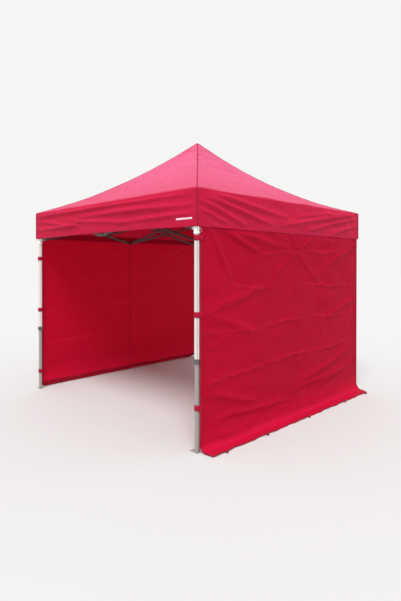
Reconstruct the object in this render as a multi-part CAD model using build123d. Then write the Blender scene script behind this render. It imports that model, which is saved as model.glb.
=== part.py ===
from build123d import *
import math
import os

# Pop up gazebo: a 3 m square steel frame that folds, under a one piece fabric roof, with two side walls.
# Each side has two scissors that meet in the middle. Four more scissors, the spokes, run from the
# middle of each side to a centre mast, which holds up the roof's peak.
#
# Millimetres, +Z up. The origin is on the ground in the middle. The open front faces -Y.
# Everything that repeats is drawn once, on the right side (+X) or at its back leg (+X, +Y), and turned
# about Z by quarter turns. On that side, OUT is +X and ALONG is +Y.

# Roof and valance
ROOF_HALF = 1500.5       # from the middle to the eave
EAVE_Z = 2305.0
PEAK_Z = 3230.0
ROOF_SAG = 0.46          # 0 gives a plain pyramid, more gives a hollower roof
ROOF_BANDS = 3           # pieces from peak to eave in each roof panel
FABRIC = 1.5
VALANCE_DROP = 340.0

# Side walls
WALL_OUT = 1497.7        # inner face of a side wall
WALL_HALF = 1466.0
WALL_TOP = 2040.0
WALL_FOOT = 20.0         # where the wall turns outwards into its mud flap
FLAP_REACH = 168.0
FLAP_INSET = 55.0
FLAP_LIFT = 2.0

# Legs: hexagonal tubes with a flat facing outwards, sizes across the flats
LEG_AT = 1463.0          # leg centre from the middle, along X and along Y
LEG_ACROSS = 45.0
LOWER_LEG_ACROSS = 38.0
LEG_WALL = 1.2
LEG_TOP_Z = 2296.0
LEG_END_Z = 776.0
LOWER_LEG_TOP_Z = 1000.0
COLLAR_ACROSS = 54.0
COLLAR_Z = (772.0, 815.0)
COLLAR_PLAY = 0.6
FOOT_THICK = 4.0
FOOT_REACH = 69.0        # how far the foot plate reaches from the leg's centre, on its peg hole's side
FOOT_BACK = 27.0
FOOT_HALF_WIDTH = 24.0
FOOT_CORNER = 6.0
PEG_HOLE = 6.0
PEG_HOLE_AT = 52.0

# Truss: pivot heights, and pivot places measured from a leg, a side's middle or the hubs' centre
HIGH_Z = 2290.0
LOW_Z = 1955.0
LEG_PIVOT = 50.0
MIDDLE_PIVOT = 30.0
SPOKE_PIVOT = 42.0       # inwards from the line of the legs
HUB_PIVOT = LEG_PIVOT + MIDDLE_PIVOT - SPOKE_PIVOT
BAR_WIDTH = 30.0
BAR_THICK = 14.0
BAR_WALL = 0.8
BAR_END = 20.0           # solid end of a bar, around its pivot
BAR_OFFSET = 7.25        # the two bars of a scissor lie this far each side of its middle plane
BOLT = 4.0               # radii from here
CLOSE_HOLE = 4.05
OPEN_HOLE = 4.6
BOLT_HEAD = 7.5
BOLT_HEAD_THICK = 4.5
RIVET_HEAD = 8.0
RIVET_HEAD_THICK = 2.0

# Nylon brackets, sliders and hubs
EAR_THICK = 4.0
EAR_GAP = 0.3
EAR_HEIGHT = 24.0
BLOCK_HALF = 14.0
SLEEVE_ACROSS = 52.0
LEG_TOP_Z_RANGE = (2245.0, 2302.0)
SOCKET_PLAY = 0.2
SLIDER_Z = (1905.0, 1975.0)
SLIDER_PLAY = 0.8
HUB_HALF = 22.0
HUB_HALF_HEIGHT = 14.0

# Pull pins, which point outwards between the two sides of a leg
PIN_Z = 1930.0
PIN_TIP = LEG_ACROSS / 2 + 0.4
PIN_END = 38.0
PIN_BOSS = 8.0
PIN_BOSS_END = 31.0
RING_AT = 34.0
RING = 18.5
RING_WIRE = 1.5
RING_HOLE = 2.1

# Centre mast
MAST = 12.5
MAST_WALL = 1.2
MAST_Z = (LOW_Z - 8.0, 2960.0)
MAST_HOLE = 13.0
ROD = 10.5
ROD_Z = (2700.0, 3190.0)
CAP_Z = (3180.0, 3208.0, 3217.0)
CAP = 18.0
CAP_TIP = 8.0

SIDES = ("right", "back", "left", "front")
LEGS = ("back_right", "back_left", "front_left", "front_right")
OUT, ALONG, UP = Vector(1, 0, 0), Vector(0, 1, 0), Vector(0, 0, 1)
PLATE_WAYS = (-OUT, ALONG, OUT, -ALONG)      # all four are -X once the quarters are turned
OUTWARDS = Vector(1, 1, 0).normalized()      # from the back right leg, away from the middle
SIDEWAYS = Vector(-1, 1, 0).normalized()


def turned(shapes, quarter):
    return [Rot(0, 0, 90 * quarter) * shape for shape in shapes]


def write(name, shapes):
    solids = [solid for shape in shapes for solid in shape.solids()]
    export_step(solids[0] if len(solids) == 1 else Compound(children=solids), f"parts/{name}.step")


def rod(start, direction, length, radius):
    """A round rod from a point, in a direction."""
    return extrude(Plane(origin=start, z_dir=direction) * Circle(radius), length)


# ---- Fabric ----

def roof_height(out):
    """Height of the roof's outer face at a distance from the middle, square to an eave."""
    t = out / ROOF_HALF
    return EAVE_Z + (PEAK_Z - EAVE_Z) * (1 - t) * (1 - ROOF_SAG * t)


def side_wedge(reach):
    """The quarter of the plan that belongs to the right side."""
    return extrude(Polygon((0, 0), (reach, -reach), (reach, reach), align=None), PEAK_Z + 1)


def roof_band(inner, outer):
    """One band of the right roof panel, between two distances from the middle."""
    outs = [inner, (inner + outer) / 2, outer]
    top = Spline(*[(out, 0, roof_height(out)) for out in outs])
    under = Spline(*[(out, 0, roof_height(out) - FABRIC) for out in outs])
    ends = [Line(top @ end, under @ end) for end in (0, 1)]
    section = make_face(Wire([top, ends[1], under, ends[0]]))
    return extrude(section, ROOF_HALF, both=True, dir=(0, 1, 0)) & side_wedge(ROOF_HALF)


def valance():
    outer = ROOF_HALF + FABRIC
    strip = Pos(ROOF_HALF + FABRIC / 2, 0, EAVE_Z - VALANCE_DROP / 2) * Box(FABRIC, 2 * outer, VALANCE_DROP)
    return strip & side_wedge(outer)


def canopy():
    step = ROOF_HALF / ROOF_BANDS
    panel = [roof_band(band * step, (band + 1) * step) for band in range(ROOF_BANDS)] + [valance()]
    return [shape for quarter in range(4) for shape in turned(panel, quarter)]


def side_wall():
    """A flat panel to the ground, and a flap that lies outwards on the ground."""
    height = WALL_TOP - WALL_FOOT
    panel = Pos(WALL_OUT + FABRIC / 2, 0, WALL_FOOT + height / 2) * Box(FABRIC, 2 * WALL_HALF, height)
    toe, tip = WALL_OUT + FABRIC, WALL_OUT + FLAP_REACH
    section = Polygon(
        (WALL_OUT, WALL_FOOT), (toe, WALL_FOOT), (tip, FLAP_LIFT + FABRIC), (tip, FLAP_LIFT), align=None
    )
    flap = extrude(Plane.XZ * section, WALL_HALF, both=True)
    short = WALL_HALF - FLAP_INSET
    plan = Polygon(
        (WALL_OUT, -WALL_HALF), (tip, -short), (tip, short), (WALL_OUT, WALL_HALF), align=None
    )
    return [panel, flap & extrude(plan, WALL_FOOT)]


# ---- Bars and their fasteners ----

def bar(start, end, across, start_hole, end_hole):
    """A flat sided tube with round solid ends, holed at both ends and in the middle."""
    run = end - start
    outline = Pos(run.length / 2, 0) * SlotCenterToCenter(run.length, BAR_WIDTH)
    inside = Box(run.length - 2 * BAR_END, BAR_WIDTH - 2 * BAR_WALL, BAR_THICK - 2 * BAR_WALL)
    shape = extrude(outline, BAR_THICK / 2, both=True) - Pos(run.length / 2, 0, 0) * inside
    for place, radius in ((0, start_hole), (run.length / 2, CLOSE_HOLE), (run.length, end_hole)):
        shape -= Pos(place, 0, 0) * Cylinder(radius, 2 * BAR_THICK)
    return Plane(origin=start, x_dir=run, z_dir=across) * shape


def rivet(middle, across):
    """Joins the two bars of a scissor. It is held by the bar on the across side of the middle plane."""
    half = BAR_OFFSET + BAR_THICK / 2 + EAR_GAP
    shape = rod(middle - across * half, across, 2 * half, BOLT)
    for side in (-1, 1):
        shape += rod(middle + across * side * half, across * side, RIVET_HEAD_THICK, RIVET_HEAD)
    return shape


def bolt(pivot, across):
    """A bolt through two ears, with a hexagonal head and nut."""
    half = BAR_THICK / 2 + EAR_GAP + EAR_THICK
    shape = rod(pivot - across * half, across, 2 * half, BOLT)
    for side in (-1, 1):
        head = Plane(origin=pivot + across * side * half, z_dir=across * side) * RegularPolygon(BOLT_HEAD, 6)
        shape += extrude(head, BOLT_HEAD_THICK)
    return shape


def fork(root, pivot, across):
    """Two ears from a root point to a pivot, one each side of a bar's end."""
    run = pivot - root
    outline = Pos(run.length / 2, 0) * SlotCenterToCenter(run.length, EAR_HEIGHT)
    ear = extrude(outline, EAR_THICK / 2, both=True)
    away = BAR_THICK / 2 + EAR_GAP + EAR_THICK / 2
    shape = Pos(0, 0, away) * ear + Pos(0, 0, -away) * ear
    shape -= Pos(run.length, 0, 0) * Cylinder(CLOSE_HOLE, 4 * BAR_THICK)
    return Plane(origin=root, x_dir=run, z_dir=across) * shape


def scissor(out_start, out_end, across, low_start_hole, high_start_hole, low_end_hole, high_end_hole):
    """The two crossed bars between two upright lines, given as points at height 0.

    The first rises from start to end and holds the rivet. The second falls.
    """
    shift = across * BAR_OFFSET
    low, high = UP * LOW_Z, UP * HIGH_Z
    rising = bar(out_start + low + shift, out_end + high + shift, across, low_start_hole, high_end_hole)
    falling = bar(out_start + high - shift, out_end + low - shift, across, high_start_hole, low_end_hole)
    middle = (out_start + out_end + low + high) / 2
    return [rising, rivet(middle, across)], [falling]


def side_scissor(toward):
    """From the side's middle to the leg at one end: toward is 1 for ALONG and -1 for the other end."""
    start = Vector(LEG_AT, toward * MIDDLE_PIVOT, 0)
    end = Vector(LEG_AT, toward * (LEG_AT - LEG_PIVOT), 0)
    end_hole = CLOSE_HOLE if toward > 0 else OPEN_HOLE
    return scissor(start, end, OUT, CLOSE_HOLE, OPEN_HOLE, end_hole, end_hole)


def spoke_scissor(hub_hole):
    """From the side's middle to the hubs."""
    start = Vector(LEG_AT - SPOKE_PIVOT, 0, 0)
    end = Vector(HUB_PIVOT, 0, 0)
    return scissor(start, end, ALONG, CLOSE_HOLE, CLOSE_HOLE, hub_hole, CLOSE_HOLE)


# ---- Nylon brackets ----

def middle_bracket(side, height):
    """Joins the scissors in the middle of a side. side is 1 for the lower one and -1 for the upper."""
    shift = side * BAR_OFFSET
    reach = BAR_THICK / 2 + EAR_GAP + EAR_THICK
    centre = Vector(LEG_AT + shift, 0, height)
    shape = Pos(centre.X, 0, height) * Box(2 * reach, 2 * BLOCK_HALF, EAR_HEIGHT)
    bolts = []
    for toward in (-1, 1):
        pivot = Vector(centre.X, toward * MIDDLE_PIVOT, height)
        shape += fork(centre, pivot, OUT)
        bolts.append(bolt(pivot, OUT))
    arm_root = LEG_AT - SPOKE_PIVOT + BAR_WIDTH / 2 + 2 * EAR_GAP
    arm_length = centre.X - reach - arm_root
    shape += Pos(arm_root + arm_length / 2, shift, height) * Box(arm_length, 2 * reach, EAR_HEIGHT)
    spoke_pivot = Vector(LEG_AT - SPOKE_PIVOT, shift, height)
    fork_root = Vector(centre.X - reach - EAR_HEIGHT / 2, shift, height)
    shape += fork(fork_root, spoke_pivot, ALONG)
    return [shape, *bolts, bolt(spoke_pivot, ALONG)]


def hub(side, height):
    """The block at the centre with a fork for each spoke. side is 1 for the upper hub and -1 for the lower."""
    shift = side * BAR_OFFSET
    pivot = Vector(HUB_PIVOT, shift, height)
    arm = fork(Vector(HUB_HALF - EAR_THICK, shift, height), pivot, ALONG)
    shape = Pos(0, 0, height) * Box(2 * HUB_HALF, 2 * HUB_HALF, 2 * HUB_HALF_HEIGHT)
    for quarter in range(4):
        shape += Rot(0, 0, 90 * quarter) * arm
    bolts = [turned([bolt(pivot, ALONG)], quarter)[0] for quarter in range(4)]
    return shape, bolts


def hexagon(across, z_range):
    """A hexagonal prism on the back right leg's axis."""
    outline = Pos(LEG_AT, LEG_AT, z_range[0]) * RegularPolygon(across / math.sqrt(3), 6, rotation=15)
    return extrude(outline, z_range[1] - z_range[0])


def leg_forks(shift, height):
    """The forks and bolts that hold the bars of the leg's two sides."""
    places = (
        (Vector(LEG_AT + shift, LEG_AT, height), ALONG, OUT),
        (Vector(LEG_AT, LEG_AT + shift, height), OUT, ALONG),
    )
    forks = [fork(root, root - run * LEG_PIVOT, across) for root, run, across in places]
    bolts = [bolt(root - run * LEG_PIVOT, across) for root, run, across in places]
    return forks, bolts


def leg_top():
    """The cap on top of a leg."""
    forks, bolts = leg_forks(BAR_OFFSET, HIGH_Z)
    shape = hexagon(SLEEVE_ACROSS, LEG_TOP_Z_RANGE) + forks[0] + forks[1]
    shape -= hexagon(LEG_ACROSS + SOCKET_PLAY, (LEG_TOP_Z_RANGE[0], LEG_TOP_Z))
    return [shape, *bolts]


def slider():
    """The sleeve that slides on a leg, with a boss for its pull pin."""
    forks, bolts = leg_forks(-BAR_OFFSET, LOW_Z)
    pin_line = Vector(LEG_AT, LEG_AT, PIN_Z)
    shape = hexagon(SLEEVE_ACROSS, SLIDER_Z) + forks[0] + forks[1]
    shape += rod(pin_line, OUTWARDS, PIN_BOSS_END, PIN_BOSS)
    shape -= hexagon(LEG_ACROSS + SLIDER_PLAY, SLIDER_Z)
    shape -= rod(pin_line, OUTWARDS, PIN_END, CLOSE_HOLE)
    return [shape, *bolts]


def pull_pin():
    """A pin with a ring through its eye. The ring lies to one side."""
    axis = Vector(LEG_AT, LEG_AT, PIN_Z)
    pin = rod(axis + OUTWARDS * PIN_TIP, OUTWARDS, PIN_END - PIN_TIP, BOLT)
    eye = axis + OUTWARDS * RING_AT
    pin -= rod(eye - UP * PIN_BOSS, UP, 2 * PIN_BOSS, RING_HOLE)
    ring = Plane(origin=eye + SIDEWAYS * RING, z_dir=OUTWARDS) * Torus(RING, RING_WIRE)
    return [pin, ring]


# ---- Legs ----

def leg_tube():
    """The upper leg, and the collar on its lower end."""
    span = (LEG_END_Z, LEG_TOP_Z)
    tube = hexagon(LEG_ACROSS, span) - hexagon(LEG_ACROSS - 2 * LEG_WALL, span)
    collar = hexagon(COLLAR_ACROSS, COLLAR_Z)
    collar -= hexagon(LEG_ACROSS, (LEG_END_Z, COLLAR_Z[1]))
    collar -= hexagon(LOWER_LEG_ACROSS + COLLAR_PLAY, (COLLAR_Z[0], LEG_END_Z))
    return [tube, collar]


def lower_leg(plate_way):
    """The lower leg, welded to a foot plate that reaches plate_way to its peg hole."""
    span = (FOOT_THICK, LOWER_LEG_TOP_Z)
    tube = hexagon(LOWER_LEG_ACROSS, span) - hexagon(LOWER_LEG_ACROSS - 2 * LEG_WALL, span)
    outline = RectangleRounded(FOOT_REACH + FOOT_BACK, 2 * FOOT_HALF_WIDTH, FOOT_CORNER)
    plate = extrude(Pos((FOOT_REACH - FOOT_BACK) / 2, 0) * outline, FOOT_THICK)
    plate -= Pos(PEG_HOLE_AT, 0, FOOT_THICK / 2) * Cylinder(PEG_HOLE, 2 * FOOT_THICK)
    return [tube + Plane(origin=(LEG_AT, LEG_AT, 0), x_dir=plate_way, z_dir=UP) * plate]


# ---- Centre mast ----

def pipe(radius, wall, z_range):
    outline = Pos(0, 0, z_range[0]) * (Circle(radius) - Circle(radius - wall))
    return extrude(outline, z_range[1] - z_range[0])


def mast_cap():
    """The plug on the mast's rod that bears on the roof's peak."""
    bottom, shoulder, top = CAP_Z
    shape = rod(Vector(0, 0, bottom), UP, shoulder - bottom, CAP)
    shape += Pos(0, 0, (shoulder + top) / 2) * Cone(CAP, CAP_TIP, top - shoulder)
    return shape - rod(Vector(0, 0, bottom), UP, ROD_Z[1] - bottom, ROD)


def main():
    os.makedirs("parts", exist_ok=True)
    write("canopy", canopy())
    for quarter in (0, 2):
        write(f"side_wall_{SIDES[quarter]}", turned(side_wall(), quarter))

    upper, upper_bolts = hub(1, HIGH_Z)
    lower, lower_bolts = hub(-1, LOW_Z)
    write("upper_hub", [upper - rod(UP * LOW_Z, UP, PEAK_Z - LOW_Z, MAST_HOLE), *upper_bolts])
    write("lower_hub", [lower - rod(UP * MAST_Z[0], UP, PEAK_Z - LOW_Z, MAST), *lower_bolts])
    write("mast_tube", [pipe(MAST, MAST_WALL, MAST_Z)])
    write("mast_rod", [pipe(ROD, MAST_WALL, ROD_Z)])
    write("mast_cap", [mast_cap()])

    lower_bracket, upper_bracket = middle_bracket(1, LOW_Z), middle_bracket(-1, HIGH_Z)
    legs = {"leg_tube": leg_tube(), "leg_top": leg_top(), "slider": slider(), "pull_pin": pull_pin()}
    for quarter, side in enumerate(SIDES):
        write(f"lower_bracket_{side}", turned(lower_bracket, quarter))
        write(f"upper_bracket_{side}", turned(upper_bracket, quarter))
        first, second = spoke_scissor(CLOSE_HOLE if quarter == 0 else OPEN_HOLE)
        write(f"spoke_a_{side}", turned(first, quarter))
        write(f"spoke_b_{side}", turned(second, quarter))
        for number, toward in ((1, 1), (2, -1)):
            first, second = side_scissor(toward)
            write(f"truss_bar_a{number}_{side}", turned(first, quarter))
            write(f"truss_bar_b{number}_{side}", turned(second, quarter))
        for name, shapes in legs.items():
            write(f"{name}_{LEGS[quarter]}", turned(shapes, quarter))
        write(f"lower_leg_{LEGS[quarter]}", turned(lower_leg(PLATE_WAYS[quarter]), quarter))


main()
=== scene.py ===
import math

import bmesh
import bpy
import numpy as np
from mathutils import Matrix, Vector


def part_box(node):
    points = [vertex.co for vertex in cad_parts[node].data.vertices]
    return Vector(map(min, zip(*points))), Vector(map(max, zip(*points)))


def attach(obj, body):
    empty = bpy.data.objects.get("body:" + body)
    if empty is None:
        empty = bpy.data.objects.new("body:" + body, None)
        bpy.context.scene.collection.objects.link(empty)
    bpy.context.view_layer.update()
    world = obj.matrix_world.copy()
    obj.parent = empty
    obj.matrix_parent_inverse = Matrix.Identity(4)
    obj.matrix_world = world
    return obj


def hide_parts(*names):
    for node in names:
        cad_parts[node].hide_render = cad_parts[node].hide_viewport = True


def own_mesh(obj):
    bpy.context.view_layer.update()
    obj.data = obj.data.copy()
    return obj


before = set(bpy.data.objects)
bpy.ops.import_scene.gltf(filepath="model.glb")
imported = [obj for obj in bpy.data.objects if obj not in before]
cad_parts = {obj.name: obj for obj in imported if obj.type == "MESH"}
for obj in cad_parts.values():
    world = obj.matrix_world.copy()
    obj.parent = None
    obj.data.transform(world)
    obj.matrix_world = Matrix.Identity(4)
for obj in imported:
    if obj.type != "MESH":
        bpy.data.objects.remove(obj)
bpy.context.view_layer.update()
scene = bpy.context.scene

# ---- Shape of the object, in metres ----

SIDES = ("right", "back", "left", "front")
LEG_OF_CORNER = ("back_right", "back_left", "front_left", "front_right")
OUT = np.array([[1, 0], [0, 1], [-1, 0], [0, -1]], float)       # each side's outward direction
ALONG = np.array([[0, 1], [-1, 0], [0, -1], [1, 0]], float)     # and the direction along it
leg_box, roof_box, wall_box = (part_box(n) for n in ("leg_tube_back_right", "canopy", "side_wall_right"))
LEG_AT = (leg_box[0][0] + leg_box[1][0]) / 2
COLLAR_TOP = 0.815

ROOF_INSET, HEM_INSET, WALL_INSET = 0.0008, 0.0015, 0.0009      # from the faces of the CAD solids to the sheets
ROOF_HALF = roof_box[1][0] - ROOF_INSET
EAVE_Z = 2.305
ROOF_RISE = roof_box[1][2] - EAVE_Z
ROOF_HOLLOW = 0.46           # how much the roof's slope dishes between peak and eave
VALANCE_BOTTOM = roof_box[0][2] + HEM_INSET
EAVE_ROUND = 0.016           # height of the rounded edge from the roof into the valance
HEM = 0.024                  # height of the valance's hem, which is turned in
HEM_GAP = 0.0022             # between the valance and its turned hem
GORES = 32
GORE_COLUMNS = 16
SHEET_COLUMNS = GORES * GORE_COLUMNS
CAP_REACH = 0.095            # how far down the roof the peak's cap reaches, as a share of the half width
CAP_LIFT = 0.0030
CAP_EASE = 0.2               # share over which the roof's relief starts below the cap
CAP_SEAM = (-0.004, -0.002, 0.0, 0.0015, 0.004)      # rows round the cap's edge, from CAP_REACH

WALL_AT = wall_box[0][0] + WALL_INSET
WALL_HALF = {"right": 1.466, "left": 1.432}      # the left wall ends clear of its legs' foot plates
WALL_TOP = wall_box[1][2]
WALL_TURN = 0.075            # radius of the turn from the wall into its mud flap
FLAP_Z = 0.0035
WALL_COLUMNS = 220
WALL_ROWS = 170

TAPE_SECTION = (             # (share of the tape's width, share of its thickness)
    (-0.5, 0.0), (-0.5, 0.7), (-0.42, 1.0), (0.42, 1.0), (0.5, 0.7), (0.5, 0.0),
)
HIP_TAPE = (0.010, 0.0010, 0.0004)         # each tape's width, thickness and lift off the cloth
BINDING = (0.020, 0.0008, 0.0003)
# next: a dark strip of painted shade inside each wall's foot
FOOT_SHADE_STRIP = (0.040, 0.0008, 0.0030)
SEAM = (0.010, 0.0007, 0.0012)
PEG_LOOP = (0.022, 0.0010, 0.0)
PATCH_TAPE = (0.018, 0.0008, 0.0)


# ---- Small tools ----

def smooth(x):
    x = np.clip(x, 0, 1)
    return x * x * (3 - 2 * x)


def ripple(points, wavelength, seed, waves=10):
    """Smooth noise from about -1 to 1, as a sum of waves in random directions."""
    draw = np.random.default_rng(seed)
    total = np.zeros(points.shape[:-1])
    for _ in range(waves):
        way = draw.normal(size=3)
        way /= np.linalg.norm(way)
        length = wavelength * draw.uniform(0.7, 1.6)
        total += np.sin(points @ way * 2 * math.pi / length + draw.uniform(0, 2 * math.pi))
    return total / math.sqrt(waves)


def creases(points, wavelength, seed, width=0.17):
    """Thin wandering ridges from 0 to 1, which come and go."""
    ridge = np.exp(-((ripple(points, wavelength, seed) / width) ** 2))
    return ridge * smooth(0.45 + 0.9 * ripple(points, wavelength * 1.3, seed + 100))


def relief(points, layers, seed=0):
    """Height of layers, each (ripple or creases, height, length, seed, times shorter along Z)."""
    return sum(height * kind(points * [1, 1, shrink], length, seed + extra)
               for kind, height, length, extra, shrink in layers)


def folds(u, v, lines, gain=1.0, wander=0.15):
    """Height at (u, v) of soft straight folds, each (start, end, half width, height)."""
    total = np.zeros_like(u)
    for (u0, v0), (u1, v1), half, height in lines:
        du, dv = u1 - u0, v1 - v0
        length = math.hypot(du, dv)
        share = ((u - u0) * du + (v - v0) * dv) / length ** 2
        away = ((u - u0) * dv - (v - v0) * du) / length
        away = away + wander * half * (np.sin(8 * share + 5 * u0) + wander * np.sin(31 * share + 9 * v0))
        fade = np.sqrt(np.clip(4 * share * (1 - share), 0, 1))
        total += gain * height * fade * np.exp(-((away / half) ** 2))
    return total


def srgb(code):
    parts = [int(code[i:i + 2], 16) / 255 for i in (0, 2, 4)]
    return [*(c / 12.92 if c <= 0.04045 else ((c + 0.055) / 1.055) ** 2.4 for c in parts), 1.0]


def grid_faces(rows, columns, flipped=False):
    """Quads of a grid of points stored row by row."""
    faces = [
        (r * columns + c, r * columns + c + 1, (r + 1) * columns + c + 1, (r + 1) * columns + c)
        for r in range(rows - 1) for c in range(columns - 1)
    ]
    return [f[::-1] for f in faces] if flipped else faces


def make(name, points, faces, material, rest=None, uv=None, values=None, normals=None, closed=True):
    """A mesh object. rest is where its points lie when nothing is folded, which its material reads."""
    mesh = bpy.data.meshes.new(name)
    points = np.asarray(points, float).reshape(-1, 3)
    mesh.from_pydata([tuple(p) for p in points], [], faces)
    if closed:                                   # faces of a closed piece look outwards
        shell = bmesh.new()
        shell.from_mesh(mesh)
        bmesh.ops.recalc_face_normals(shell, faces=shell.faces)
        shell.to_mesh(mesh)
        shell.free()
    piece = bpy.data.objects.new(name, mesh)
    scene.collection.objects.link(piece)
    mesh.materials.append(material)
    mesh.polygons.foreach_set("use_smooth", np.ones(len(faces), bool))
    rest = points if rest is None else np.asarray(rest, float).reshape(-1, 3)
    held = mesh.attributes.new("rest", "FLOAT_VECTOR", "POINT")
    held.data.foreach_set("vector", rest.astype(np.float32).ravel())
    for key, value in (values or {}).items():
        held = mesh.attributes.new(key, "FLOAT", "POINT")
        held.data.foreach_set("value", np.asarray(value, np.float32).ravel())
    if uv is not None:
        uv = np.asarray(uv, float).reshape(-1, 2)
        corners = np.zeros(len(mesh.loops), np.int32)
        mesh.loops.foreach_get("vertex_index", corners)
        mesh.uv_layers.new(name="cloth").data.foreach_set("uv", uv[corners].astype(np.float32).ravel())
    if normals is not None:
        mesh.normals_split_custom_set_from_vertices([tuple(n) for n in np.asarray(normals).reshape(-1, 3)])
    mesh.update()
    return piece


def grid_normals(points, wrapped):
    """Unit normals of a grid of points, rows by columns, from the differences of its neighbours."""
    down = np.gradient(points, axis=0)
    if wrapped:
        across = np.roll(points, -1, axis=1) - np.roll(points, 1, axis=1)
    else:
        across = np.gradient(points, axis=1)
    normal = np.cross(down, across)
    return normal / np.maximum(np.linalg.norm(normal, axis=-1, keepdims=True), 1e-12)


def loft_faces(rings, around):
    """Quads between closed rings of points stored ring by ring."""
    return [
        (i * around + k, (i + 1) * around + k, (i + 1) * around + (k + 1) % around, i * around + (k + 1) % around)
        for i in range(rings - 1) for k in range(around)
    ]


def ribbon(line, normals, width, thick, lift):
    """A closed strip of tape along a line of points, lying lift above the cloth. Returns points and faces."""
    line, normals = np.asarray(line, float), np.asarray(normals, float)
    way = np.gradient(line, axis=0)
    way /= np.linalg.norm(way, axis=1, keepdims=True)
    side = np.cross(normals, way)
    side /= np.linalg.norm(side, axis=1, keepdims=True)
    rings = np.stack([line + side * a * width + normals * (lift + b * thick) for a, b in TAPE_SECTION], axis=1)
    count, around = len(line), len(TAPE_SECTION)
    faces = loft_faces(count, around)
    faces += [tuple(range(around)), tuple((count - 1) * around + k for k in reversed(range(around)))]
    return rings.reshape(-1, 3), faces


# ---- Materials ----

# share of the painted highlight colour on the creases
CREASE_HIGHLIGHT_SHARE = 0.34


def add(tree, kind, sockets=None, **settings):
    made = tree.nodes.new("ShaderNode" + kind)
    for key, value in settings.items():
        setattr(made, key, value)
    for key, value in (sockets or {}).items():
        if isinstance(value, bpy.types.NodeSocket):
            tree.links.new(value, made.inputs[key])
        else:
            made.inputs[key].default_value = value
    return made


def math_node(tree, operation, first, second=0.0):
    return add(tree, "Math", {0: first, 1: second}, operation=operation).outputs[0]


def mixed(tree, share, first, second, blend="MIX"):
    made = add(tree, "Mix", data_type="RGBA", blend_type=blend)
    for socket, value in ((made.inputs[0], share), (made.inputs[6], first), (made.inputs[7], second)):
        if isinstance(value, bpy.types.NodeSocket):
            tree.links.new(value, socket)
        else:
            socket.default_value = value
    return made.outputs[2]


def mottled(tree, colour, noise, low, high):
    """The colour times a tone that goes from low to high with the noise."""
    tone = mixed(tree, noise.outputs[0], [*low, 1], [*high, 1])
    return mixed(tree, 1.0, colour, tone, "MULTIPLY")


def noise_node(tree, place, scale, detail=3.0, **more):
    sockets = {"Vector": place, "Scale": scale, "Detail": detail}
    return add(tree, "TexNoise", {**sockets, **{key.title(): value for key, value in more.items()}})


def new_material(name):
    """A material whose output shows one principled shader, with the node tree and that shader."""
    material = bpy.data.materials.new(name)
    material.use_nodes = True
    tree = material.node_tree
    tree.nodes.clear()
    output = add(tree, "OutputMaterial")
    shader = add(tree, "BsdfPrincipled")
    tree.links.new(shader.outputs[0], output.inputs[0])
    return material, tree, shader


def wave_scale(pitch):
    """Scale of a wave texture whose bands are pitch apart."""
    return math.pi / 10 / pitch


def fabric(name, low, high, light, glow, thread=0.0011, see=0.22, shine=0.14):
    """Coated polyester: plain weave, faint blotches, small wrinkles and paler creases, which are a painted
    highlight.

    low and high are the colours where the cloth's painted light and shade value is 0 and 1, light is the painted
    highlight colour of the creases, glow is the colour of the light that comes through it, and see is how much
    does.
    """
    material, tree, shader = new_material(name)
    place = add(tree, "Attribute", attribute_name="rest").outputs["Vector"]
    shade = add(tree, "Attribute", attribute_name="shade").outputs["Fac"]
    wear_and_crease_shading = add(tree, "Attribute", attribute_name="crease").outputs["Fac"]
    blotch = noise_node(tree, place, 1.7, 4.0, roughness=0.6)
    slub = noise_node(tree, place, 90.0, roughness=0.7)
    broken = noise_node(tree, place, 14.0)
    # Painted light and shade: from the low colour to the high one with the shade value
    colour = mixed(tree, shade, srgb(low), srgb(high))
    colour = mottled(tree, colour, blotch, (0.90, 0.88, 0.90), (1.10, 1.12, 1.10))
    colour = mottled(tree, colour, slub, (0.93, 0.92, 0.93), (1.07, 1.08, 1.07))
    broken = add(tree, "MapRange", {"Value": broken.outputs[0], "From Min": 0.35, "From Max": 0.65}).outputs[0]
    rubbed_and_crease_highlight = math_node(tree, "MULTIPLY", wear_and_crease_shading, broken)
    # Painted highlight along the creases and puckers, broken up by noise
    colour = mixed(tree, math_node(tree, "MULTIPLY", rubbed_and_crease_highlight, CREASE_HIGHLIGHT_SHARE), colour, srgb(light))
    tree.links.new(colour, shader.inputs["Base Color"])

    cloth = add(tree, "UVMap", uv_map="cloth").outputs[0]
    warp, weft = (add(tree, "TexWave", {"Vector": cloth, "Scale": wave_scale(thread), "Distortion": 0.4},
                      bands_direction=axis).outputs[1] for axis in "XY")
    weave = math_node(tree, "MULTIPLY", warp, weft)
    wrinkle = noise_node(tree, place, 7.0, 5.0, roughness=0.55, distortion=0.6)
    crumple = noise_node(tree, place, 24.0, 4.0, distortion=1.2)
    wrinkled = add(tree, "Bump", {"Strength": 0.75, "Distance": 0.007, "Height": wrinkle.outputs[0]})
    crumpled = add(tree, "Bump", {"Strength": 0.6, "Distance": 0.0016, "Height": crumple.outputs[0],
                                  "Normal": wrinkled.outputs[0]})
    woven = add(tree, "Bump", {"Strength": 0.25, "Distance": 0.0002, "Height": weave,
                               "Normal": crumpled.outputs[0]})
    tree.links.new(woven.outputs[0], shader.inputs["Normal"])
    rough = add(tree, "MapRange", {"Value": slub.outputs[0], "To Min": 0.52, "To Max": 0.68})
    tree.links.new(rough.outputs[0], shader.inputs["Roughness"])
    shader.inputs["Specular IOR Level"].default_value = shine
    shader.inputs["Sheen Weight"].default_value = shine / 3
    shader.inputs["Sheen Roughness"].default_value = 0.45
    shader.inputs["Sheen Tint"].default_value = srgb("FF90A8")
    passed = mixed(tree, slub.outputs[0], srgb(glow), mixed(tree, 0.25, srgb(glow), colour))
    through = add(tree, "BsdfTranslucent", {"Color": passed, "Normal": crumpled.outputs[0]})
    surface = shader.outputs[0].links[0].to_socket
    both = add(tree, "MixShader", {0: see, 1: shader.outputs[0], 2: through.outputs[0]})
    tree.links.new(both.outputs[0], surface)
    return material


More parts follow.
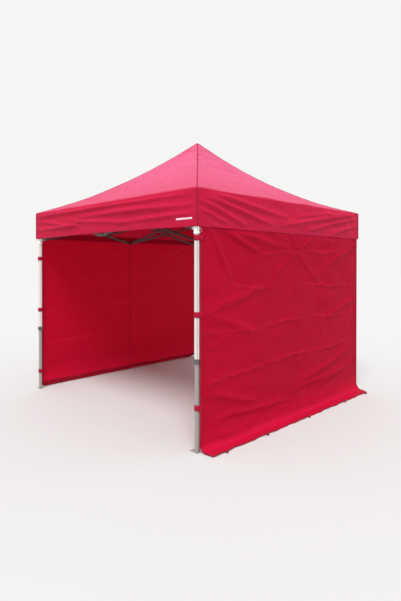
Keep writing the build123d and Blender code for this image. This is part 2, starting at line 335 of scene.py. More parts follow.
def tape(name, colour, thread=0.0018):
    """Woven tape or webbing with ribs across it."""
    material, tree, shader = new_material(name)
    place = add(tree, "Attribute", attribute_name="rest").outputs["Vector"]
    grain = noise_node(tree, place, 160.0)
    blotch = noise_node(tree, place, 6.0)
    tone = mottled(tree, srgb(colour), blotch, (0.88, 0.86, 0.88), (1.12, 1.12, 1.12))
    tone = mottled(tree, tone, grain, (0.9, 0.9, 0.9), (1.1, 1.1, 1.1))
    tree.links.new(tone, shader.inputs["Base Color"])
    rib = add(tree, "TexWave", {"Vector": place, "Scale": wave_scale(thread), "Distortion": 1.5},
              bands_direction="Z")
    bump = add(tree, "Bump", {"Strength": 0.5, "Distance": 0.0004, "Height": rib.outputs[1]})
    tree.links.new(bump.outputs[0], shader.inputs["Normal"])
    rough = add(tree, "MapRange", {"Value": grain.outputs[0], "To Min": 0.62, "To Max": 0.82})
    tree.links.new(rough.outputs[0], shader.inputs["Roughness"])
    shader.inputs["Sheen Weight"].default_value = 0.03
    shader.inputs["Specular IOR Level"].default_value = 0.08
    return material


def coated(name, colour, metallic=0.0, rough=(0.34, 0.5), grain=60.0, wear_and_crease_shading="8E8C8A", wear=0.35, coat=0.0):
    """Paint, plating or moulded nylon: mottled, with fine grain and rubbed edges."""
    material, tree, shader = new_material(name)
    place = add(tree, "TexCoord").outputs["Object"]
    fine = noise_node(tree, place, grain * 8, 4.0, roughness=0.65)
    wide = noise_node(tree, place, grain / 6, 5.0, roughness=0.6)
    base = mottled(tree, srgb(colour), wide, (0.93, 0.93, 0.92), (1.06, 1.06, 1.06))
    edge = add(tree, "MapRange", {"Value": add(tree, "NewGeometry").outputs["Pointiness"],
                                  "From Min": 0.53, "From Max": 0.62}).outputs[0]
    broken = add(tree, "MapRange", {"Value": fine.outputs[0], "From Min": 0.45, "From Max": 0.6,
                                    "To Max": wear}).outputs[0]
    rubbed_and_crease_highlight = math_node(tree, "MULTIPLY", edge, broken)
    tree.links.new(mixed(tree, rubbed_and_crease_highlight, base, srgb(wear_and_crease_shading)), shader.inputs["Base Color"])
    roughness = add(tree, "MapRange", {"Value": wide.outputs[0], "To Min": rough[0], "To Max": rough[1]})
    tree.links.new(roughness.outputs[0], shader.inputs["Roughness"])
    bump = add(tree, "Bump", {"Strength": 0.25, "Distance": 0.0002, "Height": fine.outputs[0]})
    tree.links.new(bump.outputs[0], shader.inputs["Normal"])
    shader.inputs["Metallic"].default_value = metallic
    shader.inputs["Coat Weight"].default_value = coat
    return material


def leg_paint(name, colour, collar=False):
    """Leg paint with a dark line of painted shade down the flats on the roof's diagonals and, if asked, a dark
    collar.
    """
    material = coated(name, colour, rough=(0.3, 0.45), coat=0.15)
    tree = material.node_tree
    painted = tree.nodes["Principled BSDF"].inputs["Base Color"]
    place = add(tree, "SeparateXYZ", {0: add(tree, "TexCoord").outputs["Object"]}).outputs
    wide, deep = (math_node(tree, "ABSOLUTE", place[k]) for k in (0, 1))
    aside = math_node(tree, "ABSOLUTE", math_node(tree, "SUBTRACT", wide, deep))
    # painted shade: a darker line down the flats that face the diagonals
    painted_flat_shade = add(tree, "MapRange", {"Value": aside, "From Min": 0.0040, "From Max": 0.0070, "To Min": 0.80,
                                    "To Max": 0.0}).outputs[0]
    finish = mixed(tree, painted_flat_shade, painted.links[0].from_socket, srgb("6E6A6A"))
    if collar:
        low = add(tree, "MapRange", {"Value": place[2], "From Min": COLLAR_TOP + 0.0002,
                                     "From Max": COLLAR_TOP - 0.0002}).outputs[0]
        finish = mixed(tree, low, finish, srgb("4A4A49"))
    tree.links.new(finish, painted)
    return material


# Painted light: the roof and walls are one fabric; the roof cloth's pink high colour is a painted highlight of
# the overhead light and sheen on the roof, and its low colour is the valance's red
roof_cloth_painted_light = fabric("roof_cloth_painted_light", "BA163E", "CC5A80", "EA8CA6", "D80A24", see=0.2, shine=0.09)
# Painted light: the wall cloth's high colour paints the wall's foot and flap lighter for the light they catch
wall_cloth_painted_light = fabric("wall_cloth_painted_light", "A4082E", "C8123C", "D42C50", "DC1020", see=0.31, shine=0.05)
binding_tape = tape("binding_tape", "900A26")
roof_tape = tape("roof_tape", "861632")
strap_tape = tape("strap_tape", "9A1030")
label_cloth = tape("label_cloth", "DCC0C8", thread=0.0012)
# Painted shade: the bars' white paint is made dark for the shade under the canopy, with a painted reflection of
# the red cloth
bar_paint_painted_shade = coated("bar_paint_painted_shade", "4C4242")
mast_paint = coated("mast_paint", "A8A4A2")
plated = coated("plated", "C9C9C8", metallic=0.9, rough=(0.22, 0.4), wear_and_crease_shading="E8E8E8")
nylon = coated("nylon", "F1EEEC", rough=(0.4, 0.55), wear_and_crease_shading="D8D4D0", wear=0.25)
dark_nylon = coated("dark_nylon", "3C3C3C", rough=(0.45, 0.6), wear_and_crease_shading="6A6A6A")
upper_leg_paint = leg_paint("upper_leg_paint", "D0C8C6", collar=True)
lower_leg_paint = leg_paint("lower_leg_paint", "938B8A")

PAINT = {
    "upper_bracket": dark_nylon, "lower_bracket": dark_nylon, "upper_hub": dark_nylon, "lower_hub": dark_nylon,
    "leg_tube": upper_leg_paint, "lower_leg": lower_leg_paint, "pull_pin": plated, "spoke": bar_paint_painted_shade,
    "truss": bar_paint_painted_shade, "mast_tube": mast_paint, "mast_rod": mast_paint,
}
for name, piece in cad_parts.items():
    paint = next((p for start, p in PAINT.items() if name.startswith(start)), nylon)
    piece.data.materials.clear()
    piece.data.materials.append(paint)


# ---- Roof and valance: one continuous sheet, cut into gores ----

ROOF_FOLDS = {
    "right": [
        ((-1.47, 2.20), (-0.80, 2.00), 0.022, 0.007), ((-1.42, 2.24), (-0.40, 2.04), 0.024, 0.008),
        ((-1.40, 2.28), (-0.10, 2.13), 0.026, 0.007), ((1.42, 2.28), (-0.25, 2.05), 0.026, 0.008),
        ((1.46, 2.24), (0.25, 2.02), 0.022, 0.007), ((1.40, 2.29), (0.05, 2.17), 0.026, 0.006),
        ((-1.47, 2.12), (-1.10, 2.01), 0.018, 0.005), ((1.46, 2.14), (0.80, 2.01), 0.020, 0.006),
    ],
    "front": [
        ((-1.46, 2.25), (0.10, 2.25), 0.024, 0.007), ((-1.46, 2.19), (-0.40, 2.06), 0.022, 0.007),
        ((-1.46, 2.07), (-0.45, 2.08), 0.020, 0.006), ((-0.70, 2.15), (0.65, 2.03), 0.024, 0.006),
        ((-0.50, 2.18), (1.48, 2.16), 0.026, 0.008), ((-1.20, 2.28), (1.46, 2.25), 0.022, 0.006),
        ((0.30, 2.06), (1.48, 2.08), 0.022, 0.006),
    ],
    "back": [
        ((-1.46, 2.24), (-0.30, 2.05), 0.024, 0.007), ((1.46, 2.23), (0.35, 2.08), 0.024, 0.007),
        ((-0.70, 2.20), (0.90, 2.14), 0.026, 0.006), ((-1.46, 2.10), (-0.60, 2.02), 0.020, 0.005),
    ],
    "left": [
        ((-1.46, 2.23), (-0.10, 2.10), 0.024, 0.007), ((1.46, 2.25), (0.20, 2.04), 0.024, 0.007),
        ((1.46, 2.12), (0.70, 2.01), 0.020, 0.006), ((-1.30, 2.14), (0.40, 2.02), 0.022, 0.005),
    ],
}
ROOF_RELIEF = (                 # kind, height, length, seed, and the share of it that the hips stop
    (ripple, 0.0045, 0.75, 3, 0.6), (ripple, 0.0022, 0.26, 4, 0.8),
    (creases, 0.0050, 0.62, 24, 1.0), (creases, 0.0030, 0.27, 25, 1.0),
)
VALANCE_RELIEF = (              # layers for relief()
    (ripple, 0.0030, 0.36, 6, 2.0), (creases, 0.0060, 0.95, 23, 3.4), (creases, 0.0035, 0.34, 26, 2.4),
)
VALANCE_FOLD_GAIN = 2.7
PANEL_SAG = 0.020               # of each roof panel between its hips
EAVE_BOW = 0.012                # how far the front and back eaves rise in their middles
PEAK_FOLDS = 26                 # small gathers that run down from the peak's cap
PEAK_FOLD_HEIGHT = 0.0035
PUCKER_REACH = 0.06             # from the hip
PUCKER_STEP = 0.092             # along the hip
PUCKER_NEAR, PUCKER_FAR = 0.0032, 0.0006        # heights beside the front right hip, and beside the others
HIP_TAPE_RISE = 1.6             # upward share of the hip tape's normal on the roof
HIP_SAG = {"back_right": 0.030, "back_left": 0.012, "front_left": 0.0, "front_right": 0.008}
# painted shade on the roof towards the eave, along the hips, in the creases and on the puckers' crests;
# CAP_SEAM_SHADE darkens the line round the cap's seam
EAVE_SHADE, HIP_SHADE, CREASE_SHADE, PUCKER_SHADE, CAP_SEAM_SHADE = 0.42, 0.35, 0.30, 0.4032, 0.9


def roof_z(t):
    return EAVE_Z + ROOF_RISE * (1 - t) * (1 - ROOF_HOLLOW * t)


def canopy_rows():
    """Profile of the canopy from the peak down to the hem, as (half width, height, share of valance)."""
    last = 1 - 1.3 * EAVE_ROUND / ROOF_HALF
    cap, roof = np.linspace(0.0015, CAP_REACH - 0.012, 9), np.linspace(CAP_REACH + 0.014, last, 96)
    shares = sorted([*cap, *(CAP_REACH + step for step in CAP_SEAM), *roof])
    rows = [(ROOF_HALF * t, roof_z(t), 0.0) for t in shares]
    start = np.array([ROOF_HALF * last, roof_z(last)])
    middle, end = np.array([ROOF_HALF, EAVE_Z + 0.002]), np.array([ROOF_HALF, EAVE_Z - EAVE_ROUND])
    for b in np.linspace(0, 1, 7)[1:]:
        n, z = (1 - b) ** 2 * start + 2 * b * (1 - b) * middle + b * b * end
        rows.append((n, z, float(smooth(b))))
    rows += [(ROOF_HALF, z, 1.0) for z in np.linspace(EAVE_Z - EAVE_ROUND, VALANCE_BOTTOM, 44)[1:]]
    turned = ROOF_HALF - HEM_GAP
    rows += [(ROOF_HALF - HEM_GAP / 2, VALANCE_BOTTOM - 0.0012, 1.0), (turned, VALANCE_BOTTOM, 1.0)]
    rows += [(turned, z, 1.0) for z in np.linspace(VALANCE_BOTTOM, VALANCE_BOTTOM + HEM, 4)[1:]]
    return np.array(rows)


def canopy_grid():
    """The whole sheet as a grid: rest points, points with their relief, and per point values."""
    profile = canopy_rows()
    angle = -45 + 360 * np.arange(SHEET_COLUMNS) / SHEET_COLUMNS
    side = ((angle + 45) // 90).astype(int) % 4
    slant = np.tan(np.radians(angle - 90 * side))
    half, height, hung = (profile[:, k][:, None] for k in range(3))
    flat = np.zeros((len(profile), SHEET_COLUMNS, 3))
    flat[..., :2] = half[..., None] * (OUT[side] + slant[:, None] * ALONG[side])
    flat[..., 2] = height
    t, slant, hung = (np.broadcast_to(a, flat.shape[:2]) for a in (half / ROOF_HALF, slant, hung))

    # The roof's height over its flat shape: sag, relief, gathers at the peak and puckers at the hips
    ease = smooth((t - CAP_REACH) / CAP_EASE)
    lift = -PANEL_SAG * (1 - slant ** 2) * np.sin(math.pi * t)
    for kind, tall, length, seed, stopped in ROOF_RELIEF:
        lift += ease * tall * kind(flat, length, seed) * (1 - stopped * slant ** 4)
    turns = np.radians(angle)[None, :] * PEAK_FOLDS + 1.5 * np.sin(3 * np.radians(angle))
    lift += PEAK_FOLD_HEIGHT * np.sin(turns) * smooth(t * 8) * np.exp(-t * 6)
    pucker = np.exp(-((1 - np.abs(slant)) * half / PUCKER_REACH) ** 2)
    near_hip = (side == 3) & (slant > 0) | (side == 0) & (slant < 0)
    gathers = np.sin(2 * math.pi * half / PUCKER_STEP + 2 * np.sin(7 * half)) + 0.7 * ripple(flat, 0.10, 27)
    lift += np.where(near_hip, PUCKER_NEAR, PUCKER_FAR) * pucker * gathers * smooth((1 - t) * 8)
    for k, corner in enumerate(LEG_OF_CORNER):
        off_hip = np.abs((angle - 45 - 90 * k + 180) % 360 - 180)
        near = np.cos(np.radians(np.clip(off_hip, 0, 60) * 1.5)) ** 2
        lift -= HIP_SAG[corner] * near * np.sin(math.pi * np.minimum(t, 1) ** 0.9)
    lift += CAP_LIFT * smooth((CAP_REACH + 0.001 - t) / 0.0025)
    lift *= 1 - hung

    # The valance's bulge outwards, which is never inwards where the walls hang behind it
    bulge = relief(flat, VALANCE_RELIEF)
    for k, name in enumerate(SIDES):
        folded = folds(slant * ROOF_HALF, flat[..., 2], ROOF_FOLDS[name], VALANCE_FOLD_GAIN)
        bulge = np.where(side == k, bulge + folded, bulge)
    calm = smooth((EAVE_Z - 0.005 - flat[..., 2]) / 0.05) * smooth((1 - np.abs(slant)) / 0.02)
    bulge = bulge * calm * hung
    bulge = np.where(flat[..., 2] < WALL_TOP + 0.05, np.maximum(bulge, 0.0), bulge)
    bowed = EAVE_BOW * (1 - slant ** 2) * np.isin(side, (1, 3)) * smooth((EAVE_Z - flat[..., 2]) / 0.34) * hung

    points = flat.copy()
    way = OUT[side] + (slant ** 9)[..., None] * ALONG[side]
    points[..., :2] += bulge[..., None] * way / np.linalg.norm(way, axis=-1, keepdims=True)
    points[..., 2] += lift + bowed
    depth = np.concatenate([[0], np.cumsum(np.linalg.norm(np.diff(profile[:, :2], axis=0), axis=1))])
    uv = np.stack([slant * np.maximum(half, 0.02), np.broadcast_to(depth[:, None], t.shape)], axis=-1)

    # Painted light and shade: the roof lighter than the valance and towards the peak, painted shade along the
    # hips, in the creases and on the puckers' crests beside the front right hip, and a darker stitched line round
    # the cap's seam
    hip = (1 - np.abs(slant)) * half / math.sqrt(2)
    shade = (1 - hung) * (1 - EAVE_SHADE * smooth((t - 0.25) / 0.75))
    shade *= 1 - HIP_SHADE * np.exp(-(hip / 0.012) ** 2)
    wear_and_crease_shading = creases(flat, 0.30, 25) + 0.7 * creases(flat * [1, 1, 2], 0.12, 28, 0.25)
    puckered = near_hip * pucker * np.clip(gathers, 0, 1)
    shade *= 1 - CREASE_SHADE * np.clip(wear_and_crease_shading, 0, 1) - PUCKER_SHADE * puckered
    shade *= 1 - CAP_SEAM_SHADE * np.exp(-((t - CAP_REACH - 0.001) / 0.0022) ** 2)
    # crease here is a painted highlight on the puckers beside the hips
    return {"flat": flat, "points": points, "uv": uv, "normals": grid_normals(points, wrapped=True),
            "values": {"shade": shade, "crease": 0.5 * pucker * (1 - hung)}}


def canopy_rides(piece):
    """Rides on the upper hub."""
    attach(piece, "upper_hub")
    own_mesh(piece)


sheet = canopy_grid()
for g in range(GORES):
    pick = np.arange(g * GORE_COLUMNS, (g + 1) * GORE_COLUMNS + 1) % SHEET_COLUMNS
    cut, uv = sheet["flat"][:, pick], sheet["uv"][:, pick].copy()
    if uv[-1, -1, 0] < uv[-1, 0, 0]:           # the last column belongs to the next side
        uv[:, -1, 0] *= -1
    piece = make(
        f"canopy_gore_{g:02d}", sheet["points"][:, pick], grid_faces(len(cut), len(pick), flipped=True),
        roof_cloth_painted_light, rest=cut, uv=uv, values={k: v[:, pick] for k, v in sheet["values"].items()},
        normals=sheet["normals"][:, pick], closed=False)
    canopy_rides(piece)
    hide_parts("canopy")

on_roof = canopy_rows()[1:-4, 2] < 0.5
on_roof[np.flatnonzero(on_roof)[-3:]] = False          # the tape turns down just before the eave
for k, corner in enumerate(LEG_OF_CORNER):
    angle = math.radians(45 + 90 * k)
    line = sheet["points"][1:-4, (k + 1) * SHEET_COLUMNS // 4 % SHEET_COLUMNS]
    normal = np.array([[math.cos(angle), math.sin(angle), HIP_TAPE_RISE * up] for up in on_roof])
    normal /= np.linalg.norm(normal, axis=1, keepdims=True)
    points, faces = ribbon(line, normal, *HIP_TAPE)
    piece = make(f"hip_tape_{corner}", points, faces, roof_tape)
    canopy_rides(piece)


# ---- Side walls ----

WALL_FOLDS = {
    "right": [
        ((-0.13, 2.03), (0.03, 1.80), 0.022, 0.005), ((0.24, 2.03), (0.03, 1.80), 0.022, 0.007),
        ((-0.42, 2.02), (0.00, 1.80), 0.024, 0.004), ((0.50, 2.03), (0.06, 1.78), 0.024, 0.005),
        ((0.03, 1.78), (-0.46, 1.43), 0.032, 0.004), ((0.03, 1.78), (0.52, 1.40), 0.032, 0.004),
        ((-1.34, 2.02), (-0.62, 1.75), 0.030, 0.009), ((-1.36, 1.99), (-1.05, 1.50), 0.034, 0.008),
        ((-1.30, 2.02), (-0.10, 1.79), 0.034, 0.007), ((0.02, 1.80), (0.02, 1.10), 0.034, 0.0014),
        ((-1.40, 0.50), (-0.62, 0.28), 0.034, 0.008), ((0.03, 0.32), (1.40, 0.58), 0.034, 0.009),
        ((-1.28, 0.26), (-0.10, 0.20), 0.028, 0.007), ((-0.10, 0.27), (1.26, 0.36), 0.030, 0.007),
        ((-1.42, 1.20), (-0.60, 0.95), 0.040, 0.006), ((-1.42, 1.20), (-0.55, 1.42), 0.040, 0.006),
        ((1.42, 1.20), (0.70, 1.02), 0.036, 0.006), ((1.42, 1.87), (0.60, 1.62), 0.036, 0.006),
        ((1.42, 0.39), (0.50, 0.24), 0.030, 0.006),
    ],
    "left": [
        ((-1.42, 1.98), (-0.60, 1.66), 0.036, 0.007), ((1.42, 1.98), (0.50, 1.60), 0.036, 0.007),
        ((-0.10, 2.02), (0.05, 1.50), 0.026, 0.006), ((1.40, 1.04), (0.40, 1.20), 0.036, 0.006),
        ((-1.40, 1.04), (-0.50, 0.86), 0.036, 0.006), ((-1.30, 0.30), (0.10, 0.22), 0.030, 0.008),
        ((0.10, 0.24), (1.35, 0.42), 0.030, 0.008), ((0.60, 0.60), (1.35, 0.80), 0.036, 0.006),
    ],
}
STORED = [                       # sharp creases from storage
    ((-0.62, 1.745), (0.03, 1.765), 0.011, 0.0034), ((0.10, 1.765), (1.00, 1.79), 0.011, 0.0030),
    ((-1.05, 1.43), (-0.22, 1.385), 0.011, 0.0034), ((-0.10, 1.41), (1.35, 1.37), 0.011, 0.0036),
    ((-0.60, 1.025), (0.23, 1.045), 0.011, 0.0040), ((0.23, 1.045), (1.38, 0.995), 0.011, 0.0042),
    ((-1.40, 1.02), (-0.62, 1.01), 0.010, 0.0024), ((-1.40, 0.58), (-0.40, 0.645), 0.011, 0.0038),
    ((-0.45, 0.64), (0.45, 0.67), 0.011, 0.0042), ((0.40, 0.635), (1.38, 0.68), 0.011, 0.0040),
]
STORED_GAIN, STORED_FULL = 3.0, 0.0035         # and the height where a crease's painted highlight is at its full
WALL_RELIEF = (ripple, 0.0060, 0.9, 1, 1.0), (ripple, 0.0026, 0.30, 2, 1.6)
WALL_CREASES = (creases, 0.0055, 0.60, 3, 1.3), (creases, 0.0042, 0.24, 4, 1.0)
FLAP_RELIEF = (ripple, 0.0045, 0.34, 15, 0.0), (ripple, 0.0025, 0.13, 16, 0.0)
WALL_LOOK = {                    # first seed, and strength of the folds and creases
    "right": (10, 1.0),
    "left": (40, 0.55),
}
WALL_FOLD_GAIN = 2.5
WALL_LEAN = 0.010                # how far the wall's lower part bellies outwards
WALL_FOOT, WALL_FOOT_PAINTED_LIGHT = 0.30, 0.85        # height below which the wall's tone turns lighter, a painted highlight of the light on the foot and flap, and how much
FLAP_RISE = 0.004                # mean height of the flap's humps
FLAP_LOWEST, FLAP_EDGE_LOWEST = 0.0016, 0.0012
FLAP = {                         # reach and set back of the flap's corners at the front (-Y) and back ends
    "right": {"reach": (0.143, 0.188), "inset": (0.012, 0.105)},
    "left": {"reach": (0.150, 0.150), "inset": (0.165, 0.110)},
}
FOOT_SHADE_STRIP_Z = 0.052
SEAM_Y = 0.02
PEG_LOOPS_Y = (-1.30, -0.72, 0.02, 0.78, 1.30)
PEG_LOOP_BEND = (                # a peg loop's line, as (outwards from the flap's edge, height)
    (-0.020, 0.0022), (0.006, 0.0026), (0.022, 0.0030), (0.030, 0.0042), (0.031, 0.0062), (0.026, 0.0080),
    (0.010, 0.0076), (-0.020, 0.0070),
)


def wall_grid(name):
    """One side wall, hanging from its top hem and turning out along the ground into its flap."""
    sign = 1.0 if name == "right" else -1.0
    seed, strength = WALL_LOOK[name]
    near, far = FLAP[name]["reach"]
    near_inset, far_inset = FLAP[name]["inset"]
    edge = WALL_HALF[name]
    share = np.linspace(0, 1, WALL_COLUMNS)
    fall = WALL_TOP - FLAP_Z - WALL_TURN
    arc = WALL_TURN * math.pi / 2
    reach = near + (far - near) * share
    length = fall + arc + (reach - WALL_TURN)
    drop = np.linspace(0, 1, WALL_ROWS)[:, None] * length[None, :]
    turn = np.clip((drop - fall) / arc, 0, 1) * math.pi / 2
    out = WALL_TURN * (1 - np.cos(turn)) + np.clip(drop - fall - arc, 0, None)
    z = WALL_TOP - np.minimum(drop, fall) - WALL_TURN * np.sin(turn)
    laid = np.clip(out / reach[None, :], 0, 1)
    ends = np.where(share < 0.5, near_inset, -far_inset) * np.abs(1 - 2 * share)
    y = (-edge + 2 * edge * share)[None, :] + ends[None, :] * laid ** 1.15
    flat = np.stack([sign * (WALL_AT + out), y, z], axis=-1)

    u, v = y, WALL_TOP - drop
    stored = folds(u, v, STORED, wander=0.8)
    bumps = folds(u, v, WALL_FOLDS[name], WALL_FOLD_GAIN * strength) + STORED_GAIN * strength * stored
    bumps += relief(flat, WALL_RELIEF, seed) + strength * relief(flat, WALL_CREASES, seed)
    bumps *= smooth((VALANCE_BOTTOM - 0.004 - flat[..., 2]) / 0.06) * smooth((edge - np.abs(u)) / 0.07)
    lean = WALL_LEAN * smooth((0.55 - v) / 0.5) * smooth((edge - np.abs(u)) / 0.3) * (v > 0.02)
    upright = smooth(1 - turn / (math.pi / 2))
    hump = FLAP_RISE + relief(flat, FLAP_RELIEF)
    scallop = 0.004 * np.sin(2 * math.pi * share * 7.3) + 0.003 * np.sin(2 * math.pi * share * 17.1)
    points = flat.copy()
    points[..., 0] += sign * (np.maximum(bumps, -0.004) * upright + lean * upright + scallop[None, :] * laid)
    points[..., 2] += np.maximum(hump, -0.0015) * (1 - upright) * (0.35 + 0.65 * laid)
    points[..., 2] = np.maximum(points[..., 2], FLAP_LOWEST)
    points[-1, :, 2] = np.maximum(points[-1, :, 2] - 0.001, FLAP_EDGE_LOWEST)
    # Painted light: the wall's foot and flap turn lighter, and the storage creases get a painted highlight
    values = {"shade": smooth((WALL_FOOT - v) / WALL_FOOT) * WALL_FOOT_PAINTED_LIGHT,
              "crease": np.clip(stored / STORED_FULL, 0, 1)}
    return {"flat": flat, "points": points, "uv": np.stack([u, drop], axis=-1), "values": values,
            "normals": sign * grid_normals(points, wrapped=False), "sign": sign, "length": float(length.mean())}


def column_at(wall, row, y):
    """The column whose point in this row is nearest to y."""
    return int(np.argmin(np.abs(wall["points"][row, :, 1] - y)))


def binding(name, line, normals):
    """Tape on both faces of the cloth, as one piece."""
    points, faces = [], []
    for face in (1, -1):
        half, half_faces = ribbon(line, normals * face, *BINDING)
        faces += [tuple(i + len(points) * len(half) for i in f) for f in half_faces]
        points.append(half)
    return make(name, np.concatenate(points), faces, binding_tape)


def taped(name, line, normals, size):
    """One strip of tape, as a piece."""
    points, faces = ribbon(line, normals, *size)
    return make(name, points, faces, binding_tape)


def peg_loop(name, tip, sign, aside):
    """A folded loop of tape that stands out from the flap's edge at tip."""
    line = np.array([[tip[0] + sign * a, tip[1] + aside, max(tip[2], 0.002) + b - PEG_LOOP_BEND[0][1]]
                     for a, b in PEG_LOOP_BEND])
    normal = np.cross(np.gradient(line, axis=0), [0, 1, 0])
    normal /= np.linalg.norm(normal, axis=1, keepdims=True)
    return taped(name, line, normal, PEG_LOOP)


for name in ("right", "left"):
    wall = wall_grid(name)
    points, normals, sign = wall["points"], wall["normals"], wall["sign"]
    cloth = make(f"side_wall_cloth_{name}", points, grid_faces(WALL_ROWS, WALL_COLUMNS, flipped=sign > 0),
                 wall_cloth_painted_light, rest=wall["flat"], uv=wall["uv"], values=wall["values"], closed=False)
    extras = [
        binding(f"side_wall_{edge}_binding_{name}", points[at], normals[at])
        for edge, at in (("front", np.s_[:, 1]), ("back", np.s_[:, -2]), ("hem", -2), ("top", 1))
    ]
    # Painted shade: a dark strip inside the wall along its turn into the flap, for the shade of the turned hem,
    # with a wavy edge
    foot = int(np.argmin(np.abs(wall["flat"][:, WALL_COLUMNS // 2, 2] - FOOT_SHADE_STRIP_Z)))
    line = points[foot].copy()
    line[:, 2] += 0.005 * np.sin(line[:, 1] * 9) + 0.003 * np.sin(line[:, 1] * 23)
    extras.append(taped(f"side_wall_foot_shade_strip_{name}", line, -normals[foot], FOOT_SHADE_STRIP))
    middle = column_at(wall, 0, SEAM_Y)
    extras.append(taped(f"side_wall_seam_{name}", points[:-2, middle], -normals[:-2, middle], SEAM))
    for number, at in enumerate(PEG_LOOPS_Y):
        extras.append(peg_loop(f"peg_loop_{number + 1}_{name}", points[-1, column_at(wall, -1, at)], sign,
                               0.010 * (number % 2)))
    for piece in [cloth, *extras]:
        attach(piece, f"upper_bracket_{name}")
        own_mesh(piece)
    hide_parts(f"side_wall_{name}")


# ---- Straps that hold the walls' ends to the legs ----

STRAP_HEIGHTS = {"right": (1.87, 1.20, 0.39), "left": (1.71, 1.04, 0.234)}
STRAP_RADII = (0.0285, 0.0285, 0.0255)         # round the upper leg, twice, and the lower leg
STRAP_WIDTH = 0.048
STRAP_OVER_WALL = 0.022          # how far over the wall's end each strap reaches
STRAP_WOBBLE = 0.0008
STRAP_SECTION = (                # (outwards, share of the width)
    (0, -0.5), (0.0016, -0.47), (0.0022, -0.2), (0.0024, 0.2), (0.0016, 0.47), (0, 0.5), (-0.0006, 0.47),
    (-0.0006, -0.47),
)


def leg_place(leg):
    return LEG_AT if "right" in leg else -LEG_AT, LEG_AT if "back" in leg else -LEG_AT


def wall_of(leg):
    return "right" if "right" in leg else "left"


def hull(points):
    """Corners of the convex outline round some points, anticlockwise."""
    points = sorted(map(tuple, points))
    halves = []
    for run in (points, points[::-1]):
        half = []
        for p in run:
            while len(half) > 1 and ((half[-1][0] - half[-2][0]) * (p[1] - half[-2][1])
                                     - (half[-1][1] - half[-2][1]) * (p[0] - half[-2][0])) <= 0:
                half.pop()
            half.append(p)
        halves += half[:-1]
    return np.array(halves)


def strap(name, leg, height, radius):
    """A loop of tape round the leg and the binding at the wall's end."""
    x, y = leg_place(leg)
    turn = np.linspace(0, 2 * math.pi, 33)[:-1]
    circle = np.stack([np.cos(turn), np.sin(turn)], axis=1)
    wall_end = WALL_HALF[wall_of(leg)] - STRAP_OVER_WALL
    edge = [math.copysign(WALL_AT + 0.0035, x), math.copysign(wall_end, y)]
    loop = hull(np.concatenate([np.array([x, y]) + radius * circle, np.array(edge) + 0.004 * circle]))
    around = len(loop)
    outward = loop - loop.mean(axis=0)
    outward /= np.linalg.norm(outward, axis=1, keepdims=True)
    wobble = STRAP_WOBBLE * np.sin(3 * np.arange(around) * 2 * math.pi / around + 40 * height)
    rings = [
        np.concatenate([loop + outward * out, (height + STRAP_WIDTH * z + wobble)[:, None]], axis=1)
        for out, z in STRAP_SECTION
    ]
    faces = [
        (r * around + c, r * around + (c + 1) % around,
         (r + 1) % len(rings) * around + (c + 1) % around, (r + 1) % len(rings) * around + c)
        for r in range(len(rings)) for c in range(around)
    ]
    piece = make(name, np.stack(rings), faces, strap_tape)
    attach(piece, f"leg_{leg}")


for leg in LEG_OF_CORNER:
    for number, height in enumerate(STRAP_HEIGHTS[wall_of(leg)]):
        strap(f"strap_{number + 1}_{leg}", leg, height, STRAP_RADII[number])


# ---- Small hardware ----

BUTTON_Z = 0.794
BUTTON_OUT = 0.0268              # from the leg's axis to the face that the button stands on
BUTTON_PROFILE = (               # (distance out of the face, radius)
    (0, 0.0075), (0.0018, 0.0075), (0.0030, 0.0066), (0.0034, 0.0050), (0.0028, 0.0044), (0.0052, 0.0036),
    (0.0060, 0.0022), (0.0062, 0.0004),
)
BUTTON_STEPS = 20
PATCH = (1.235, 1.440, 2.040)    # from, to and height of the blank label patch
PATCH_LIFT = 0.0012
PATCH_POINTS = 16


def snap_button(name, leg):
    """A turned button on the leg's inner face."""
    x, y = leg_place(leg)
    way = Vector((-x, -y, 0)).normalized()
    across = way.orthogonal().normalized()
    third = way.cross(across)
    place = Vector((x, y, BUTTON_Z)) + way * BUTTON_OUT
    turns = [k * 2 * math.pi / BUTTON_STEPS for k in range(BUTTON_STEPS)]
    points = [place + way * a + (across * math.cos(turn) + third * math.sin(turn)) * r
              for a, r in BUTTON_PROFILE for turn in turns]
    last = (len(BUTTON_PROFILE) - 1) * BUTTON_STEPS
    faces = loft_faces(len(BUTTON_PROFILE), BUTTON_STEPS)
    faces += [tuple(range(BUTTON_STEPS)), tuple(last + k for k in range(BUTTON_STEPS))]
    piece = make(name, [tuple(p) for p in points], faces, plated)
    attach(piece, f"leg_{leg}")


for leg in LEG_OF_CORNER:
    snap_button(f"leg_button_{leg}", leg)

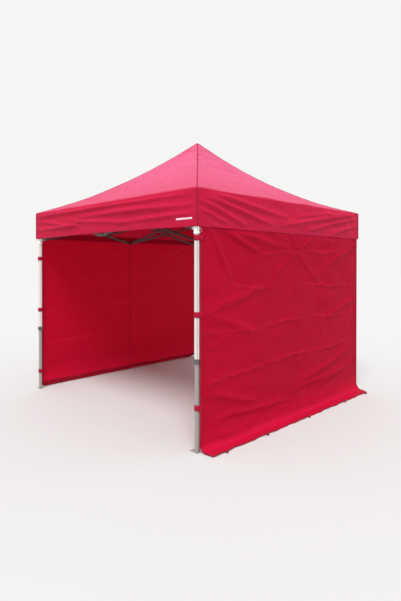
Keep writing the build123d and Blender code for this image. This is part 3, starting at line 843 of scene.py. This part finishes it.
patch_from, patch_to, patch_z = PATCH
patch_x = np.linspace(patch_from, patch_to, PATCH_POINTS)
out = []                         # how far out the valance is at each x
for x in patch_x:
    gaps = np.abs(sheet["flat"] - [x, -ROOF_HALF, patch_z]).sum(axis=-1)
    out.append(sheet["points"][np.unravel_index(np.argmin(gaps), gaps.shape)][1])
out = np.convolve(np.pad(out, 2, mode="edge"), np.ones(5) / 5, mode="valid") - PATCH_LIFT
line = np.stack([patch_x, out, np.full(PATCH_POINTS, patch_z)], axis=1)
points, faces = ribbon(line, np.tile([0.0, -1.0, 0.0], (PATCH_POINTS, 1)), *PATCH_TAPE)
piece = make("valance_label_patch", points, faces, label_cloth)
canopy_rides(piece)


# ---- Floor, light and camera ----

FLOOR_REACH, FLOOR_CORNERS, FLOOR_TONE = 60.0, 96, 0.51
SKY_COLOUR, SKY_STRENGTH = (1.0, 0.995, 0.99, 1), 0.92
SUN_FROM, SUN_ENERGY, SUN_WIDTH = (0.42, -0.55, 1.0), 3.4, 28       # width in degrees
CAMERA_AT = (4.288, -4.279, 1.643)
CAMERA_TURN = (90 - 0.4, 0, 44.68)         # degrees
SENSOR = 36                                # mm, for the picture's longer side of 601 pixels
LENS = 459.2 / 601 * SENSOR
SHIFT = -33.6 / 601

floor_material, _, shader = new_material("studio_floor")
shader.inputs["Base Color"].default_value = (FLOOR_TONE, FLOOR_TONE, FLOOR_TONE, 1)
shader.inputs["Roughness"].default_value = 0.95
shader.inputs["Specular IOR Level"].default_value = 0.1
turns = np.linspace(0, 2 * math.pi, FLOOR_CORNERS, endpoint=False)
rim = [(FLOOR_REACH * math.cos(a), FLOOR_REACH * math.sin(a), 0.0) for a in turns]
floor = make("studio_floor", rim, [tuple(range(FLOOR_CORNERS))], floor_material, closed=False)

world = bpy.data.worlds.new("studio")
scene.world = world
world.use_nodes = True
background = world.node_tree.nodes["Background"]
background.inputs["Color"].default_value = SKY_COLOUR
background.inputs["Strength"].default_value = SKY_STRENGTH
scene.view_settings.view_transform = "Standard"

sun = bpy.data.objects.new("soft_sun", bpy.data.lights.new("soft_sun", "SUN"))
scene.collection.objects.link(sun)
sun.data.energy, sun.data.angle = SUN_ENERGY, math.radians(SUN_WIDTH)
sun.rotation_euler = Vector(SUN_FROM).to_track_quat("Z", "Y").to_euler()

camera = bpy.data.objects.new("camera", bpy.data.cameras.new("camera"))
scene.collection.objects.link(camera)
camera.location = CAMERA_AT
camera.rotation_euler = [math.radians(a) for a in CAMERA_TURN]
camera.data.sensor_width, camera.data.lens, camera.data.shift_y = SENSOR, LENS, SHIFT
scene.camera = camera
